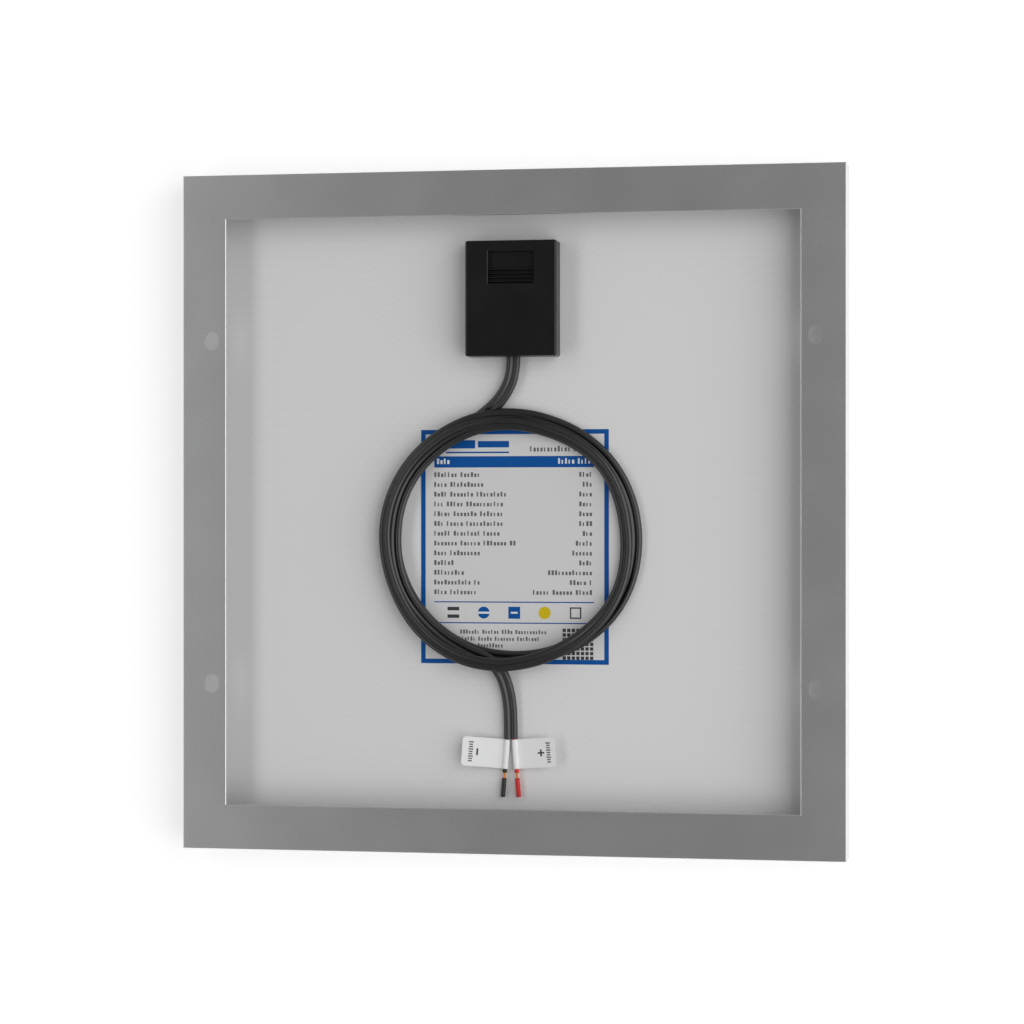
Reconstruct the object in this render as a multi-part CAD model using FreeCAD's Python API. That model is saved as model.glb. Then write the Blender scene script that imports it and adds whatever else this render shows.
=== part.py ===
import FreeCAD, Part
import math
import os

# A framed solar panel lying glass side down, in millimetres.
# X runs across the panel, Y towards the end that holds the junction box, Z from the glass to the rear.
# The origin is in the middle of the face that the panel lies on.

V = FreeCAD.Vector

# Whole panel
PANEL_W, PANEL_H, PANEL_D = 290.0, 295.0, 20.0

# Frame rail section; "in" is measured inwards from the outer face
WALL = 1.2
LIP_IN = 6.5  # how far the front lip reaches over the glass
CHAMBER_IN = 4.0  # inner face of the hollow that holds the corner keys
FLANGE_IN, FLANGE_T = 19.6, 1.4
OUTER_R = 0.4
MITRE_IN = 20.5

# Mounting slots in the left and right rear flanges
SLOT_W, SLOT_L = 6.2, 8.2
SLOT_IN = 13.0
SLOT_PITCH = 150.0

# Corner keys
KEY_ARM = 26.0
KEY_GAP = 0.1

# Laminate, stacked up from the front lip
LAMINATE_IN = 1.9
SEAL_IN = 5.0
FRONT_SEAL_T, REAR_SEAL_T = 0.5, 0.4
GLASS_T, FRONT_EVA_T, CELL_T, REAR_EVA_T, BACKSHEET_T = 3.2, 0.4, 0.2, 0.4, 0.3
GLASS_Z = WALL + FRONT_SEAL_T
FRONT_EVA_Z = GLASS_Z + GLASS_T
CELL_Z = FRONT_EVA_Z + FRONT_EVA_T
BACKSHEET_Z = CELL_Z + CELL_T + REAR_EVA_T
REAR_Z = BACKSHEET_Z + BACKSHEET_T
LEDGE_Z = REAR_Z + REAR_SEAL_T

# Cells, in strings that run along Y
STRINGS, CELLS = 4, 9
CELL_W, CELL_H, CELL_GAP = 62.5, 27.0, 2.0
CELL_CHAMFER = 4.0
PITCH_X, PITCH_Y = CELL_W + CELL_GAP, CELL_H + CELL_GAP

# Ribbons
RIBBON_W, RIBBON_T = 1.6, 0.15
BUS_W, BUS_T = 3.0, 0.2
BUS_Y = 133.5  # the buses that join neighbouring strings
LEAD_BUS_Y = 138.5  # the rows that bring the two ends to the middle
LEAD_W = 2.5
LEAD_Z = CELL_Z + CELL_T + RIBBON_T

# Junction box
BOX_X, BOX_Y = 0.5, 92.3
BOX_W, BOX_H, BOX_R = 40.0, 50.0, 1.0
BOX_WALL = 1.6
GLUE_T = 0.4
BASE_Z = REAR_Z + GLUE_T
FLOOR_Z = BASE_Z + 1.0
RIM_Z = 11.4
LID_Z = 16.8
ROOF_Z = LID_Z - BOX_WALL
LID_R = 1.0
TONGUE_T, TONGUE_DEEP, TONGUE_GAP = 1.0, 1.0, 0.1
GROOVE_IN, GROOVE_W, GROOVE_DEEP = 0.4, 0.8, 0.8

# Thumb window in the lid
WINDOW_W, WINDOW_H, WINDOW_DEEP = 20.0, 14.0, 2.5
WINDOW_Y = 105.7
WINDOW_BEVEL = 0.3
RIBS, RIB_PITCH, RIB_FIRST_Y = 4, 1.72, 99.7
RIB_FOOT, RIB_TOP, RIB_TALL = 1.2, 0.5, 1.3

# Terminals
TERM_X, TERM_W = 6.5, 8.0
TERM_Y0, TERM_Y1 = 82.5, 100.5
TERM_BLOCK_Y1 = 97.5
TERM_Z, TERM_T = 8.6, 0.8
TERM_TOP = TERM_Z + TERM_T
LEAD_RISE_Y = 101.0
LEAD_END_Y = 97.2
SCREW_R, SCREW_HEAD_R, SCREW_HEAD_T, SCREW_LONG = 1.25, 2.3, 1.3, 2.6
SCREW_PLAY = 0.05
RIBBON_SCREW_Y, CORE_SCREW_Y = 95.5, 86.5
TAB_T = 0.5

# Flat twin cable and its two cores
CABLE_W, CABLE_T = 6.0, 3.0
CABLE_Z = 9.15
WALL_Y = BOX_Y - BOX_H / 2
SEAL_PLAY = 0.45
JACKET_END_Y = 76.5
CLAMP_Y0, CLAMP_Y1 = 71.0, 75.5
CLAMP_HALF, CLAMP_T = 8.2, 1.5
CLAMP_SCREW_X, CLAMP_SCREW_R, CLAMP_HEAD_R = 5.8, 0.95, 1.8

# The cable's route on the rear of the panel: out of the box, through the coil, out at its foot
LOW_Z = 7.9
LEAD_IN = [
    (0.5, 67.3, 9.15),
    (0.5, 58.6, 9.15),
    (-5.6, 48.2, 8.2),
    (-14.6, 42.4, 7.9),
    (-23.5, 37.1, 7.9),
]
TAIL = [
    (-9.5, -64.6, 10.9),
    (-5.0, -70.4, 10.2),
    (-2.1, -78.8, 8.3),
    (-0.9, -88.2, 7.9),
    (-0.9, -98.4, 7.9),
]
COIL_Z0, COIL_Z1 = 6.36, 15.4
COIL_CENTRES = [(0.1, -10.5), (-2.6, -13.75)]  # the lower turn and the upper turn
COIL_R = 52.7
COIL_HOLE_R = 46.0

# Stripped ends
CORE_R, CORE_SPREAD, CORE_SPLAY = 0.975, 1.55, 4.4
CORE_LONG = 14.8
WIRE_R = 0.5
WIRE_LONG = 24.7
SLUG_R, SLUG_BORE_R, SLUG_START, SLUG_LONG = 1.0, 0.55, 17.2, 8.2
TAG_R, TAG_BORE_R, TAG_T = 1.25, 1.0, 0.3
TAG_START, TAG_TALL, TAG_CORNER = 0.4, 12.7, 1.4
TAG_REACH = {"negative": 19.0, "positive": 17.6}

# Rating label
LABEL_X, LABEL_Y, LABEL_W, LABEL_H, LABEL_T = 0.4, -15.1, 83.0, 102.0, 0.12

SIDES = {"negative": -1, "positive": 1}


# ------------------------------------------------------------------ plain shapes
def block(x0, x1, y0, y1, z0, z1):
    """A box between two corners."""
    return Part.makeBox(x1 - x0, y1 - y0, z1 - z0, V(x0, y0, z0))


def strip(x, half, y0, y1, z0, z1):
    """A box centred on x, between two Y positions given in either order."""
    return block(x - half, x + half, min(y0, y1), max(y0, y1), z0, z1)


def rod(radius, length, at, along=V(0, 0, 1)):
    return Part.makeCylinder(radius, length, at, along)


def outline(corners, radii):
    """A closed wire through flat corners, each rounded by its own radius."""
    bends = []
    for i, radius in enumerate(radii):
        here, before, after = (V(*corners[k % len(corners)], 0) for k in (i, i - 1, i + 1))
        back, ahead = (before - here).normalize(), (after - here).normalize()
        half = back.getAngle(ahead) / 2
        reach = radius / math.tan(half)
        middle = here + (back + ahead).normalize() * (radius / math.sin(half) - radius)
        bends.append((here + back * reach, middle, here + ahead * reach))
    edges = []
    for i, (start, middle, end) in enumerate(bends):
        if radii[i]:
            edges.append(Part.Arc(start, middle, end).toShape())
        following = bends[(i + 1) % len(bends)][0]
        if end.distanceToPoint(following) > 1e-6:
            edges.append(Part.makeLine(end, following))
    return Part.Wire(edges)


def prism(corners, radius, z0, z1):
    """Extrudes a flat outline up from z0 to z1. radius is one number, or one for each corner."""
    radii = radius if isinstance(radius, list) else [radius] * len(corners)
    solid = Part.Face(outline(corners, radii)).extrude(V(0, 0, z1 - z0))
    solid.translate(V(0, 0, z0))
    return solid


def rectangle(x, y, width, height):
    """The four corners of a rectangle about a centre."""
    a, b = width / 2, height / 2
    return [(x - a, y - b), (x + a, y - b), (x + a, y + b), (x - a, y + b)]


def along_x(solid):
    """Turns a prism so that its flat X, Y and height run along Y, Z and X."""
    solid.rotate(V(0, 0, 0), V(1, 1, 1), 120)
    return solid


def joined(solids):
    """One solid from touching ones."""
    return solids[0].multiFuse(solids[1:]).removeSplitter()


def ring(outer, inner):
    return outer.cut(inner)


# ------------------------------------------------------------------ frame
def rail(length):
    """A mitred rail lying along X with its outer face at y = 0."""
    inner, under = CHAMBER_IN + WALL, PANEL_D - FLANGE_T
    section = [
        (0, 0), (LIP_IN, 0), (LIP_IN, WALL), (WALL, WALL), (WALL, LEDGE_Z), (inner, LEDGE_Z),
        (inner, under), (FLANGE_IN, under), (FLANGE_IN, PANEL_D), (0, PANEL_D),
    ]
    nose = FLANGE_T / 2
    radii = [OUTER_R, 0, 0, 0, 0, 0, 0, nose, nose, OUTER_R]
    hollow = [(WALL, LEDGE_Z + WALL), (CHAMBER_IN, LEDGE_Z + WALL), (CHAMBER_IN, under), (WALL, under)]
    solid = along_x(prism(section, radii, 0, length)).cut(along_x(prism(hollow, 0, 0, length)))
    mitred = [(0, 0), (length, 0), (length - MITRE_IN, MITRE_IN), (MITRE_IN, MITRE_IN)]
    solid = solid.common(prism(mitred, 0, -1, PANEL_D + 1))
    solid.translate(V(-length / 2, 0, 0))
    return solid


def slotted(solid):
    for x in (-SLOT_PITCH / 2, SLOT_PITCH / 2):
        slot = prism(rectangle(x, SLOT_IN, SLOT_L, SLOT_W), SLOT_W / 2 - 1e-3, PANEL_D - 2, PANEL_D + 1)
        solid = solid.cut(slot)
    return solid


def frame_rails():
    short, tall = rail(PANEL_W), slotted(rail(PANEL_H))
    places = {
        "bottom": (short, 0, V(0, -PANEL_H / 2, 0)),
        "right": (tall, 90, V(PANEL_W / 2, 0, 0)),
        "top": (short, 180, V(0, PANEL_H / 2, 0)),
        "left": (tall, 270, V(-PANEL_W / 2, 0, 0)),
    }
    rails = {}
    for name, (shape, turn, place) in places.items():
        solid = shape.copy()
        solid.rotate(V(0, 0, 0), V(0, 0, 1), turn)
        solid.translate(place)
        rails["frame_rail_" + name] = solid
    return rails


CORNERS = {"bottom_left": (-1, -1), "bottom_right": (1, -1), "top_right": (1, 1), "top_left": (-1, 1)}


def corner_keys():
    """L-shaped keys pressed into the rails' hollows, each with a crimp notch in both arms."""
    z0, z1 = LEDGE_Z + WALL + KEY_GAP, PANEL_D - FLANGE_T - KEY_GAP
    a, b = WALL + KEY_GAP, CHAMBER_IN - KEY_GAP
    notch, notch_w, notch_deep = KEY_ARM * 0.7, 2.0, 1.0
    corners = [(a, a), (KEY_ARM, a), (KEY_ARM, b), (b, b), (b, KEY_ARM), (a, KEY_ARM)]
    keys = {}
    for quarter, (name, (sx, sy)) in enumerate(CORNERS.items()):
        key = prism(corners, [0.5, 0.5, 0.5, 0, 0.5, 0.5], z0, z1)
        key = key.cut(block(notch, notch + notch_w, 0, a + notch_deep, z0, z1))
        key = key.cut(block(0, a + notch_deep, notch, notch + notch_w, z0, z1))
        key.rotate(V(0, 0, 0), V(0, 0, 1), 90 * quarter)
        key.translate(V(sx * PANEL_W / 2, sy * PANEL_H / 2, 0))
        keys["corner_key_" + name] = key
    return keys


# ------------------------------------------------------------------ laminate
def sheet(inset, z0, z1):
    """A flat layer that stops short of the panel's outer faces."""
    x, y = PANEL_W / 2 - inset, PANEL_H / 2 - inset
    return block(-x, x, -y, y, z0, z1)


def string_x(i):
    return (i - (STRINGS - 1) / 2) * PITCH_X


def cell_y(j):
    return (j - (CELLS - 1) / 2) * PITCH_Y


def string_way(i):
    """The way that current's path runs up or down a string: 1 towards +Y."""
    return 1 if i % 2 else -1


def cell_string(i):
    """One column of cells; those on the panel's flanks have their outer corners cut off."""
    flank = {0: -1, STRINGS - 1: 1}.get(i, 0)
    x, half, chamfer = string_x(i), CELL_H / 2, CELL_CHAMFER
    inner, outer = x - flank * CELL_W / 2, x + flank * CELL_W / 2
    cut = outer - flank * chamfer
    cells = []
    for j in range(CELLS):
        low, high = cell_y(j) - half, cell_y(j) + half
        corners = rectangle(x, cell_y(j), CELL_W, CELL_H)
        if flank:
            corners = [(inner, low), (cut, low), (outer, low + chamfer)]
            corners += [(outer, high - chamfer), (cut, high), (inner, high)]
        cells.append(prism(corners, 0, CELL_Z, CELL_Z + CELL_T))
    return Part.Compound(cells)


FRONT_RIBBON = (CELL_Z - RIBBON_T, CELL_Z)
REAR_RIBBON = (CELL_Z + CELL_T, CELL_Z + CELL_T + RIBBON_T)


def link(x, y, way):
    """A ribbon from the front of the cell at y, through the gap, to the rear of the next cell."""
    gap = y + way * PITCH_Y / 2
    half = RIBBON_T / 2
    front = strip(x, RIBBON_W / 2, y - way * (CELL_H / 2 - 2), gap + way * half, *FRONT_RIBBON)
    rise = strip(x, RIBBON_W / 2, gap - half, gap + half, FRONT_RIBBON[0], REAR_RIBBON[1])
    rear = strip(x, RIBBON_W / 2, gap - way * half, gap + way * (CELL_H - 1), *REAR_RIBBON)
    return joined([front, rise, rear])


def end_ribbon(x, y, way, level, reach):
    """A flat ribbon from an end cell out to its bus."""
    return strip(x, RIBBON_W / 2, y - way * (CELL_H / 2 - 2), way * reach, *level)


def cell_ribbons():
    """A string starts with a ribbon behind its first cell and ends with one in front of its last cell."""
    ribbons = []
    for i in range(STRINGS):
        x, way = string_x(i), string_way(i)
        order = [cell_y(j) for j in range(CELLS)][::way]
        ribbons += [link(x, y, way) for y in order[:-1]]
        outer = LEAD_BUS_Y + BUS_W / 2
        inner = BUS_Y + BUS_W / 2
        ribbons.append(end_ribbon(x, order[0], -way, REAR_RIBBON, outer if i == 0 else inner))
        ribbons.append(end_ribbon(x, order[-1], way, FRONT_RIBBON, outer if i == STRINGS - 1 else inner))
    return Part.Compound(ribbons)


def bus_ribbons():
    """Cross links: strings 1-2 and 3-4 at the bottom, 2-3 at the top."""
    buses = []
    for i, side in ((0, -1), (1, 1), (2, -1)):
        x0, x1 = string_x(i) - RIBBON_W, string_x(i + 1) + RIBBON_W
        y = side * BUS_Y
        buses.append(block(x0, x1, y - BUS_W / 2, y + BUS_W / 2, CELL_Z, CELL_Z + CELL_T))
    return Part.Compound(buses)


def lead_ribbon(side, string):
    """From an end string's bus row, behind the cells, out through the backsheet and onto its terminal."""
    x, end = BOX_X + side * TERM_X, string_x(string)
    y0, y1 = LEAD_BUS_Y - BUS_W / 2, LEAD_BUS_Y + BUS_W / 2
    level = LEAD_Z if side < 0 else CELL_Z
    inner, outer = x - side * LEAD_W / 2, end + side * RIBBON_W
    row = block(min(inner, outer), max(inner, outer), y0, y1, level, level + BUS_T)
    fold = strip(x, LEAD_W / 2, y0, y1, level, LEAD_Z + BUS_T)
    run = strip(x, LEAD_W / 2, LEAD_RISE_Y, y1, LEAD_Z, LEAD_Z + BUS_T)
    rise = strip(x, LEAD_W / 2, LEAD_RISE_Y, LEAD_RISE_Y + BUS_T, LEAD_Z, TERM_TOP + BUS_T)
    landing = strip(x, LEAD_W / 2, LEAD_END_Y, LEAD_RISE_Y + BUS_T, TERM_TOP, TERM_TOP + BUS_T)
    return joined([row, fold, run, rise, landing])


def laminate():
    nodes = {f"cell_string_{i + 1}": cell_string(i) for i in range(STRINGS)}
    nodes["cell_ribbons"] = cell_ribbons()
    nodes["bus_ribbons"] = bus_ribbons()
    nodes["lead_ribbon_negative"] = lead_ribbon(-1, 0)
    nodes["lead_ribbon_positive"] = lead_ribbon(1, STRINGS - 1)
    leads = [nodes["lead_ribbon_negative"], nodes["lead_ribbon_positive"]]
    buried = [solid for shape in nodes.values() for solid in shape.Solids]
    nodes["front_glass"] = sheet(LAMINATE_IN, GLASS_Z, FRONT_EVA_Z)
    front = sheet(LAMINATE_IN, FRONT_EVA_Z, CELL_Z)
    nodes["front_encapsulant"] = front.cut(nodes["cell_ribbons"].Solids)
    nodes["rear_encapsulant"] = sheet(LAMINATE_IN, CELL_Z, BACKSHEET_Z).cut(buried)
    nodes["backsheet"] = sheet(LAMINATE_IN, BACKSHEET_Z, REAR_Z).cut(leads)
    around = ring(sheet(WALL, WALL, LEDGE_Z), sheet(SEAL_IN, WALL, LEDGE_Z))
    nodes["edge_seal"] = ring(around, sheet(LAMINATE_IN, GLASS_Z, REAR_Z))
    return nodes


# ------------------------------------------------------------------ junction box
def box_prism(inset, z0, z1, radius=0.0):
    """A prism that follows the junction box's outline, set in from it."""
    corners = rectangle(BOX_X, BOX_Y, BOX_W - 2 * inset, BOX_H - 2 * inset)
    return prism(corners, radius, z0, z1)


def cable_section(grow=0.0):
    """Corners and rounding of the flat cable's section, in X and Z."""
    return rectangle(0, 0, CABLE_W + 2 * grow, CABLE_T + 2 * grow), CABLE_T / 2 + grow - 1e-3


def cable_block(y0, y1, grow=0.0):
    """A straight length of the cable's section through the box's wall."""
    corners, radius = cable_section(grow)
    solid = prism(corners, radius, 0, y1 - y0)
    solid.rotate(V(0, 0, 0), V(1, 0, 0), 90)
    solid.translate(V(BOX_X, y1, CABLE_Z))
    return solid


def jbox_base():
    base = box_prism(0, BASE_Z, RIM_Z, BOX_R).cut(box_prism(BOX_WALL, FLOOR_Z, RIM_Z))
    clamp_top = CABLE_Z + CABLE_T / 2
    added, removed = [], [cable_block(WALL_Y - 1, WALL_Y + BOX_WALL + 1, SEAL_PLAY)]
    for side in (-1, 1):
        x = BOX_X + side * TERM_X
        added.append(block(x - TERM_W / 2, x + TERM_W / 2, TERM_Y0, TERM_BLOCK_Y1, FLOOR_Z, TERM_Z))
        inner, outer = BOX_X + side * (CABLE_W / 2 + 0.4), BOX_X + side * CLAMP_HALF
        post = block(min(inner, outer), max(inner, outer), CLAMP_Y0, CLAMP_Y1, FLOOR_Z, clamp_top)
        added.append(post)
        middle = (CLAMP_Y0 + CLAMP_Y1) / 2
        bore = CLAMP_SCREW_R + SCREW_PLAY
        removed.append(rod(bore, 3.2, V(BOX_X + side * CLAMP_SCREW_X, middle, clamp_top - 2.6)))
        for y in (RIBBON_SCREW_Y, CORE_SCREW_Y):
            removed.append(rod(SCREW_R + SCREW_PLAY, 2.2, V(x, y, TERM_Z - 1.8)))
    added.append(block(BOX_X - 0.6, BOX_X + 0.6, TERM_Y0, TERM_BLOCK_Y1, FLOOR_Z, TERM_TOP))
    window_x, window_y0, window_y1 = 9.5, LEAD_RISE_Y - 1.2, LEAD_RISE_Y + 2
    removed.append(block(BOX_X - window_x, BOX_X + window_x, window_y0, window_y1, BASE_Z - 1, FLOOR_Z + 1))
    for solid in added:
        base = base.fuse(solid)
    for solid in removed:
        base = base.cut(solid)
    return base.removeSplitter()


def rounded_top(solid, radius):
    """Rounds the edges that lie on the solid's highest face."""
    top = solid.BoundBox.ZMax
    edges = [e for e in solid.Edges if e.BoundBox.ZMin > top - 1e-4]
    return solid.makeFillet(radius, edges)


def thumb_window():
    """The recess in the lid, with a small bevel round its mouth."""
    floor = LID_Z - WINDOW_DEEP
    recess = prism(rectangle(BOX_X, WINDOW_Y, WINDOW_W, WINDOW_H), 0.3, floor, LID_Z + 1)
    mouths = []
    for z, grow in ((LID_Z - WINDOW_BEVEL, 0.0), (LID_Z, 2 * WINDOW_BEVEL)):
        wire = outline(rectangle(BOX_X, WINDOW_Y, WINDOW_W + grow, WINDOW_H + grow), [0.3] * 4)
        wire.translate(V(0, 0, z))
        mouths.append(wire)
    return recess.fuse(Part.makeLoft(mouths, True))


def thumb_ribs():
    floor = LID_Z - WINDOW_DEEP
    ribs = []
    for k in range(RIBS):
        y = RIB_FIRST_Y + k * RIB_PITCH
        y0, y1, y2, y3 = (y + offset / 2 for offset in (-RIB_FOOT, -RIB_TOP, RIB_TOP, RIB_FOOT))
        root, crest = floor - 0.2, floor + RIB_TALL
        section = [(y0, root), (y3, root), (y3, floor), (y2, crest), (y1, crest), (y0, floor)]
        rib = along_x(prism(section, 0, 0, WINDOW_W + 0.4))
        rib.translate(V(BOX_X - WINDOW_W / 2 - 0.2, 0, 0))
        ribs.append(rib)
    return ribs


def jbox_lid():
    lid = rounded_top(box_prism(0, RIM_Z, LID_Z, BOX_R), LID_R)
    lid = lid.cut(box_prism(BOX_WALL, RIM_Z, ROOF_Z))
    under = rectangle(BOX_X, WINDOW_Y, WINDOW_W + 2.8, WINDOW_H + 2.8)
    lid = lid.fuse(prism(under, 0, LID_Z - WINDOW_DEEP - 1.4, ROOF_Z + 0.4))
    outer, inner = BOX_WALL + TONGUE_GAP, BOX_WALL + TONGUE_GAP + TONGUE_T
    low, root = RIM_Z - TONGUE_DEEP, RIM_Z + 0.4
    tongue = ring(box_prism(outer, low, root), box_prism(inner, low, root))
    bridge = ring(box_prism(BOX_WALL - 0.2, RIM_Z, root), box_prism(inner, RIM_Z, root))
    gate = block(BOX_X - 4, BOX_X + 4, WALL_Y, WALL_Y + 4, RIM_Z - TONGUE_DEEP - 1, RIM_Z)
    lid = lid.fuse(bridge).fuse(tongue.cut(gate))
    groove = ring(
        box_prism(GROOVE_IN, RIM_Z, RIM_Z + GROOVE_DEEP, 0.6),
        box_prism(GROOVE_IN + GROOVE_W, RIM_Z, RIM_Z + GROOVE_DEEP, 0.4),
    )
    return lid.cut(thumb_window()).fuse(thumb_ribs()).cut(groove).removeSplitter()


def jbox_lid_seal():
    """A rubber ring in the lid's groove, standing level with the rim."""
    play = 0.02
    z0, z1 = RIM_Z + play, RIM_Z + GROOVE_DEEP - play
    outer = box_prism(GROOVE_IN + play, z0, z1, 0.6)
    return ring(outer, box_prism(GROOVE_IN + GROOVE_W - play, z0, z1, 0.4))


def terminal(side):
    x = BOX_X + side * TERM_X
    plate = prism(rectangle(x, (TERM_Y0 + TERM_Y1) / 2, TERM_W, TERM_Y1 - TERM_Y0), 0.6, TERM_Z, TERM_TOP)
    for y in (RIBBON_SCREW_Y, CORE_SCREW_Y):
        plate = plate.cut(rod(SCREW_R + SCREW_PLAY, 3, V(x, y, TERM_Z - 1)))
    return plate


def pan_screw(radius, long, head_r, head_t, at):
    """A slotted pan-head screw; at is the point under its head."""
    head = rounded_top(rod(head_r, head_t, at), head_t * 0.4)
    shank = rod(radius, long, at - V(0, 0, long))
    top = at.z + head_t
    slot = block(at.x - head_r, at.x + head_r, at.y - 0.3, at.y + 0.3, top - head_t * 0.45, top + 1)
    return head.fuse(shank).cut(slot).removeSplitter()


def terminal_screws():
    """One screw at each end of both terminals: over the lead ribbon and over the core's flattened wire."""
    screws = []
    for side in (-1, 1):
        for y, under in ((RIBBON_SCREW_Y, BUS_T), (CORE_SCREW_Y, TAB_T)):
            at = V(BOX_X + side * TERM_X, y, TERM_TOP + under)
            screws.append(pan_screw(SCREW_R, SCREW_LONG - 0.6, SCREW_HEAD_R, SCREW_HEAD_T, at))
    return Part.Compound(screws)


def bypass_diode():
    """An axial diode across the terminals, its leads bent down onto them."""
    y, z, half, lead_r, foot = 91.0, 11.1, 2.6, 0.35, 5.4
    parts = [rod(1.3, 2 * half, V(BOX_X - half, y, z), V(1, 0, 0))]
    for side in (-1, 1):
        x = BOX_X + side * foot
        start = V(BOX_X + side * half, y, z)
        parts.append(rod(lead_r, foot - half, start, V(side, 0, 0)))
        parts.append(Part.makeSphere(lead_r, V(x, y, z)))
        parts.append(rod(lead_r, z - TERM_TOP, V(x, y, TERM_TOP)))
    return joined(parts)


def cable_clamp():
    """A bridge that two screws hold down over the cable."""
    z0 = CABLE_Z + CABLE_T / 2
    middle = (CLAMP_Y0 + CLAMP_Y1) / 2
    bridge = prism(rectangle(BOX_X, middle, 2 * CLAMP_HALF, CLAMP_Y1 - CLAMP_Y0), 0.8, z0, z0 + CLAMP_T)
    for side in (-1, 1):
        at = V(BOX_X + side * CLAMP_SCREW_X, middle, z0 - 1)
        bridge = bridge.cut(rod(CLAMP_SCREW_R + SCREW_PLAY, CLAMP_T + 2, at))
    return bridge


def cable_clamp_screws():
    at_z = CABLE_Z + CABLE_T / 2 + CLAMP_T
    middle = (CLAMP_Y0 + CLAMP_Y1) / 2
    screws = []
    for side in (-1, 1):
        at = V(BOX_X + side * CLAMP_SCREW_X, middle, at_z)
        screws.append(pan_screw(CLAMP_SCREW_R, 3.8, CLAMP_HEAD_R, 1.2, at))
    return Part.Compound(screws)


INLET_CORE_END = (4.4, 81.6, 9.95)  # away from the box's middle, along Y, up


def inlet_core(side):
    """A core's bend from the jacket's end out to its terminal."""
    start = V(BOX_X + side * CORE_SPREAD, JACKET_END_Y, CABLE_Z)
    end = V(BOX_X + side * INLET_CORE_END[0], *INLET_CORE_END[1:])
    way = end - start
    core = rod(CORE_R, way.Length + 2, start - way.normalize() * 1.0, end - start)
    return core.common(block(BOX_X - 20, BOX_X + 20, JACKET_END_Y, INLET_CORE_END[1], FLOOR_Z, RIM_Z + 3))


def inlet_wire(side):
    """The core's bare end, flattened on the terminal under its screw."""
    x = BOX_X + side * INLET_CORE_END[0]
    return strip(x, 0.6, INLET_CORE_END[1], 89.0, TERM_TOP, TERM_TOP + TAB_T)


def junction_box():
    adhesive = ring(box_prism(1.5, REAR_Z, BASE_Z, 1.0), box_prism(5.5, REAR_Z, BASE_Z, 1.0))
    cable = cable_block(WALL_Y, JACKET_END_Y)
    seal = cable_block(WALL_Y, WALL_Y + BOX_WALL, SEAL_PLAY).cut(cable_block(WALL_Y - 1, JACKET_END_Y))
    nodes = {
        "jbox_adhesive": adhesive,
        "jbox_base": jbox_base(),
        "jbox_lid": jbox_lid(),
        "jbox_lid_seal": jbox_lid_seal(),
        "terminal_screws": terminal_screws(),
        "bypass_diode": bypass_diode(),
        "cable_seal": seal,
        "cable_clamp": cable_clamp(),
        "cable_clamp_screws": cable_clamp_screws(),
        "inlet_cable": cable,
    }
    for name, side in SIDES.items():
        nodes["terminal_" + name] = terminal(side)
        nodes["inlet_core_" + name] = inlet_core(side)
        nodes["inlet_wire_" + name] = inlet_wire(side)
    return nodes


# ------------------------------------------------------------------ free cable
def route_path(name, route):
    """Straight runs joined by tangent arcs that are as large as the runs allow."""
    points = [V(*p) for p in route]
    edges, last, radii = [], points[0], []
    for before, here, after in zip(points, points[1:], points[2:]):
        back, ahead = before - here, after - here
        reach = 0.45 * min(back.Length, ahead.Length)
        turn = math.pi - back.getAngle(ahead)
        radius = reach / math.tan(turn / 2)
        radii.append(round(radius, 1))
        back.normalize()
        ahead.normalize()
        start, end = here + back * reach, here + ahead * reach
        middle = here + (back + ahead).normalize() * (radius / math.cos(turn / 2) - radius)
        edges += [Part.makeLine(last, start), Part.Arc(start, middle, end).toShape()]
        last = end
    edges.append(Part.makeLine(last, points[-1]))
    print(name, "arc radii", radii)
    return Part.Wire(edges)


def flat_tube(name, route):
    """The flat cable's section, kept level along a route whose first run is level."""
    path = route_path(name, route)
    corners, radius = cable_section()
    section = outline(corners, [radius] * 4)
    start, way = V(*route[0]), V(*route[1]) - V(*route[0])
    level = V(-way.y, way.x, 0).normalize()
    section.transformShape(
        FreeCAD.Placement(start, FreeCAD.Rotation(level, way.cross(level), way, "ZXY")).Matrix
    )
    sweep = Part.BRepOffsetAPI.MakePipeShell(path)
    sweep.setBiNormalMode(V(0, 0, 1))
    sweep.add(section)
    sweep.build()
    sweep.makeSolid()
    tube = sweep.shape()
    expected = Part.Face(section).Area * path.Length
    print(name, "volume", round(tube.Volume, 1), "section x length", round(expected, 1))
    return tube


def cable_coil():
    """The coil's outer shape: two turns that lie a little apart, as one closed ring."""
    rings = [rod(COIL_R + CABLE_W / 2, COIL_Z1 - COIL_Z0, V(x, y, COIL_Z0)) for x, y in COIL_CENTRES]
    middle = V(*(sum(c) / 2 for c in zip(*COIL_CENTRES)), COIL_Z0 - 1)
    hole = rod(COIL_HOLE_R, COIL_Z1 - COIL_Z0 + 2, middle)
    return joined(rings).cut(hole)


def one_solid(shape):
    """The largest solid of a shape that was cut."""
    return max(shape.Solids, key=lambda solid: solid.Volume)


def free_cable():
    coil = cable_coil()
    return {
        "cable_coil": coil,
        "cable_lead_in": one_solid(flat_tube("cable_lead_in", LEAD_IN).cut(coil)),
        "cable_tail": one_solid(flat_tube("cable_tail", TAIL[::-1]).cut(coil)),
    }


def on_core(side, shape):
    """Places a shape made along -Y from the origin onto one of the two splayed cores."""
    shape.rotate(V(0, 0, 0), V(0, 0, 1), side * CORE_SPLAY)
    end = V(*TAIL[-1])
    shape.translate(end + V(side * CORE_SPREAD, 0, 0))
    return shape


def sleeve(outer, bore, start, long):
    """A tube along -Y."""
    at, down = V(0, -start, 0), V(0, -1, 0)
    return rod(outer, long, at, down).cut(rod(bore, long, at, down))


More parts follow.
